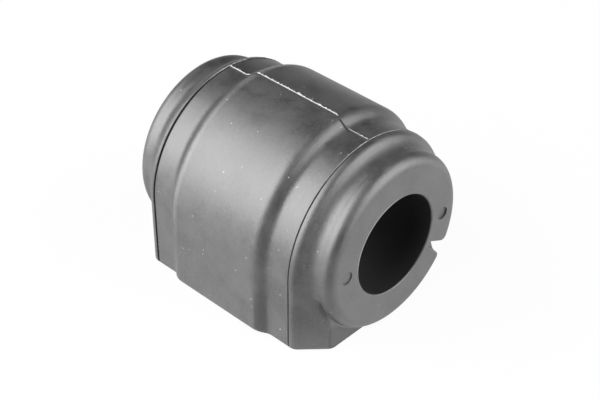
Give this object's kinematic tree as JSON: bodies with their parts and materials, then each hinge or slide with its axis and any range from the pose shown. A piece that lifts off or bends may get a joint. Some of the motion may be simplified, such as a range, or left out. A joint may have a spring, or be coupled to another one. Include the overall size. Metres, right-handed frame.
{
  "type": "sway bar bushing",
  "caption": "Moulded rubber D-shaped bushing that holds a vehicle's sway bar, with a through bore, round end collars and a flat base.",
  "frame": {"origin": "on the axis of the bore, half way along its length", "axes": "+Y along the bore, +X towards the slotted side, +Z from the flat base up to the rounded crown"},
  "size_m": [0.0654, 0.0746, 0.0566],
  "materials": {
    "rubber": "satin, as moulded"
  },
  "bodies": {
    "root": {"bushing": "rubber"}
  },
  "joints": []
}
